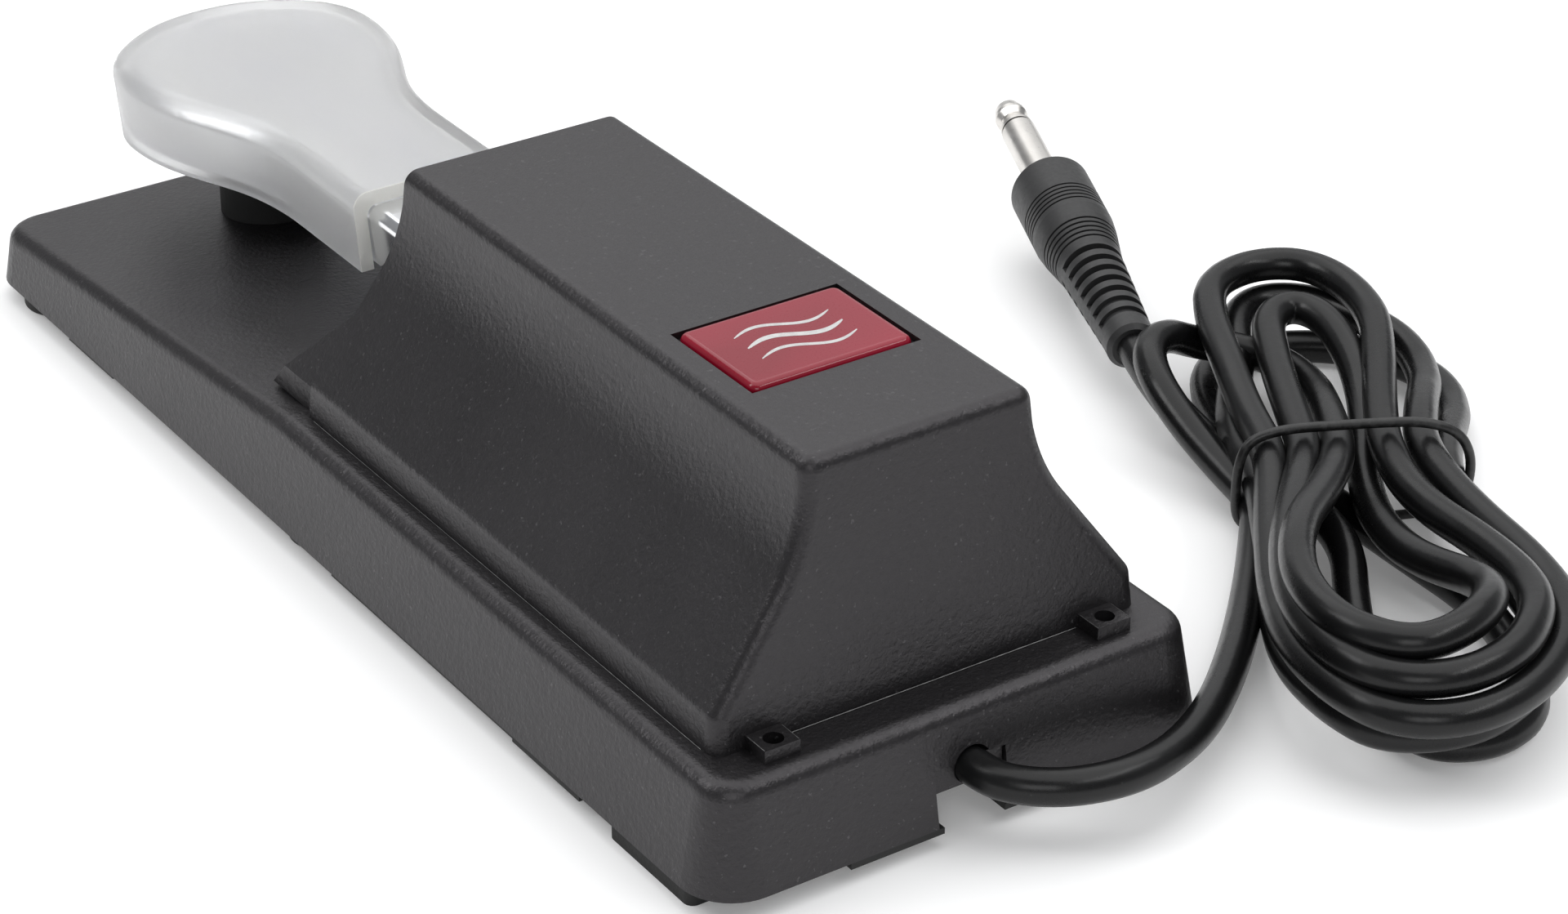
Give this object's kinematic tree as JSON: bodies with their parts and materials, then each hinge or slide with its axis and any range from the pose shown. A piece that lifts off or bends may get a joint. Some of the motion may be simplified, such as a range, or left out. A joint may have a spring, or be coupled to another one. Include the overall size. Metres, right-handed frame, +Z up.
{
  "type": "sustain pedal",
  "caption": "Keyboard sustain foot pedal: low wedge base, hump-backed housing, chromed sprung lever with a frosted toe cover, and a tied cord with a jack plug.",
  "frame": {"origin": "on the floor under the middle of the base", "axes": "+Y towards the cable end, -Y towards the toe, +X across the pedal, +Z up"},
  "size_m": [0.1867, 0.2669, 0.0596],
  "materials": {
    "body_plastic": "fine spark-erosion grain, semi-matte",
    "plate_paint": "black sheet, satin",
    "screw_steel": "zinc plated",
    "foot_rubber": "matte black rubber",
    "badge_gel": "domed clear gel over crimson, plain white device",
    "cover_frosted": "milky translucent, satin",
    "lever_chrome": "polished plating",
    "bracket_zinc": "bright zinc",
    "axle_steel": "ground steel",
    "bush_nylon": "natural nylon",
    "spring_steel": "drawn spring wire",
    "stop_felt": "dense grey felt",
    "switch_case": "moulded black",
    "plunger_plastic": "moulded red",
    "terminal_brass": "tinned brass",
    "wire_insulation": "thin coloured insulation",
    "cord_jacket": "semi-gloss black PVC",
    "tie_plastic": "black coated wire",
    "plug_mould": "moulded black, satin",
    "plug_nickel": "nickel plating",
    "plug_ring": "black insulator"
  },
  "bodies": {
    "base": {"base_shell": "body_plastic", "upper_housing": "body_plastic", "mouth_apron": "body_plastic", "cord_clamp": "body_plastic", "bottom_plate": "plate_paint", "plate_screws": "screw_steel", "housing_screws": "screw_steel", "bracket_screws": "screw_steel", "stop_screws": "screw_steel", "bumper_screw": "screw_steel", "switch_screws": "screw_steel", "clamp_screws": "screw_steel", "rear_feet": "foot_rubber", "front_feet": "foot_rubber", "middle_feet": "foot_rubber", "edge_pads": "foot_rubber", "toe_bumper": "foot_rubber", "badge": "badge_gel", "pivot_bracket": "bracket_zinc", "stop_bridge": "bracket_zinc", "pivot_bushes": "bush_nylon", "spring_seat": "bush_nylon", "return_spring": "spring_steel", "stop_pad": "stop_felt", "switch_body": "switch_case", "terminal_lugs": "terminal_brass", "lead_wires": "wire_insulation", "cord_inner": "cord_jacket", "cord_lead": "cord_jacket", "cord_hank": "cord_jacket", "cord_tail": "cord_jacket", "cord_tie": "tie_plastic", "plug_barrel": "plug_mould", "plug_sleeve": "plug_nickel", "plug_tip": "plug_nickel", "plug_insulator": "plug_ring"},
    "pedal": {"pedal_lever": "lever_chrome", "pedal_cover": "cover_frosted", "pivot_axle": "axle_steel", "axle_clips": "bracket_zinc", "spring_guide": "bush_nylon"},
    "plunger": {"switch_plunger": "plunger_plastic"}
  },
  "joints": [
    {"name": "pedal_hinge", "type": "hinge", "parent": "base", "child": "pedal", "pos_m": [0, 0.07, 0.0342], "axis": [1, 0, 0], "range_deg": [0, 4.2], "stiffness_Nm_per_rad": 6.7, "springref_deg": -14.32, "deforming": ["return_spring"]},
    {"name": "plunger_slide", "type": "slide", "parent": "base", "child": "plunger", "axis": [0, 0, -1], "range_m": [0, 0.002], "stiffness_N_per_m": 200, "springref_m": -0.002}
  ],
  "couplings": [
    {"joint": "plunger_slide", "follows": "pedal_hinge", "m_per_rad": 0.026}
  ]
}
